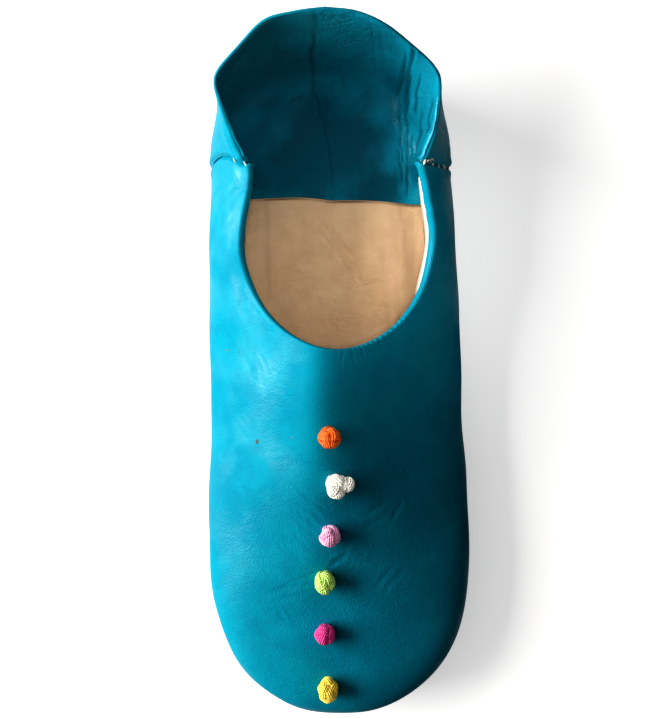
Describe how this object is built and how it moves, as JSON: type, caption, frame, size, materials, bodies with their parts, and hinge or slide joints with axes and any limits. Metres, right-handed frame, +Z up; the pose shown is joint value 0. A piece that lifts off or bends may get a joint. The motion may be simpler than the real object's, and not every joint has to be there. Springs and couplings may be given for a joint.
{
  "type": "babouche slipper",
  "caption": "Soft leather babouche slipper with a round toe, low open collar, upright heel piece and knotted silk buttons down the vamp.",
  "frame": {"origin": "middle of the footprint's bounding box, on the floor", "axes": "-Y towards the toe, +Y towards the heel, +Z up, +X to the right when seen from above with the toe towards the viewer"},
  "size_m": [0.1018, 0.263, 0.0647],
  "materials": {
    "teal_leather": "soft dyed goat leather with a slight sheen",
    "tan_leather": "matt undyed leather",
    "sole_leather": "matt sole leather",
    "orange_silk": "knotted silk",
    "white_silk": "knotted silk",
    "pink_silk": "knotted silk",
    "green_silk": "knotted silk",
    "magenta_silk": "knotted silk",
    "yellow_silk": "knotted silk"
  },
  "bodies": {
    "root": {"outsole": "sole_leather", "insole": "tan_leather", "heel_sock": "teal_leather", "upper": "teal_leather", "heel_piece": "teal_leather", "knot_orange": "orange_silk", "knot_white": "white_silk", "knot_pink": "pink_silk", "knot_green": "green_silk", "knot_magenta": "magenta_silk", "knot_yellow": "yellow_silk"}
  },
  "joints": []
}
